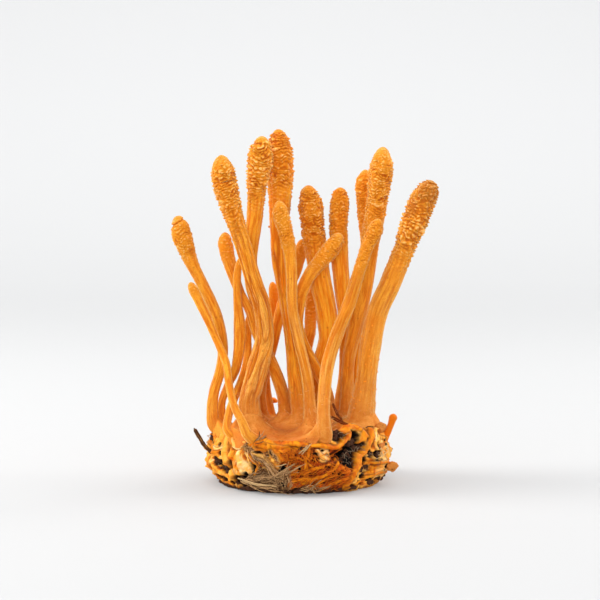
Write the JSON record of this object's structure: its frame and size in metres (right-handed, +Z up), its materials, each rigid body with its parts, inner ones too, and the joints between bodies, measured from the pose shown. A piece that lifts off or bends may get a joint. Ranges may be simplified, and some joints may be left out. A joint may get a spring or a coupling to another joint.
{
  "type": "cordyceps mushroom cluster",
  "caption": "Cluster of orange cordyceps club fungi with knobbly heads, growing from a matted cake that is cut flat below and stands on it.",
  "frame": {"origin": "middle of the cake's flat underside, on the surface that it stands on", "axes": "+Z up along the clubs, +X to the right and -Y towards the front of the pictured side"},
  "size_m": [0.0611, 0.0374, 0.0813],
  "materials": {
    "club_flesh": "matt orange fungus flesh, knobbly on the heads and finely fibrous on the stems",
    "stub_flesh": "matt deep orange-red fungus flesh",
    "matted_cake": "matted mycelium and plant fibre, orange with cream, brown and black patches",
    "straw": "dry dark brown straw",
    "brown_lump": "rough brown growing medium"
  },
  "bodies": {
    "root": {"mat": "matted_cake", "club_main_left": "club_flesh", "club_far_left": "club_flesh", "club_thin_left": "club_flesh", "club_left_behind": "club_flesh", "club_slim_left": "club_flesh", "club_short_left": "club_flesh", "club_tall_left": "club_flesh", "club_tall_middle": "club_flesh", "club_front_middle": "club_flesh", "club_leaning_middle": "club_flesh", "club_low_middle": "club_flesh", "club_broad_middle": "club_flesh", "club_bent_middle": "club_flesh", "club_low_behind": "club_flesh", "club_right_middle": "club_flesh", "club_right_behind": "club_flesh", "club_right_tall": "club_flesh", "club_front_right": "club_flesh", "club_far_right": "club_flesh", "stub_right": "stub_flesh", "stub_back": "stub_flesh", "straw_upper": "straw", "straw_lower": "straw", "twig_left": "straw", "knob_right": "brown_lump", "lobe_right": "brown_lump"}
  },
  "joints": []
}
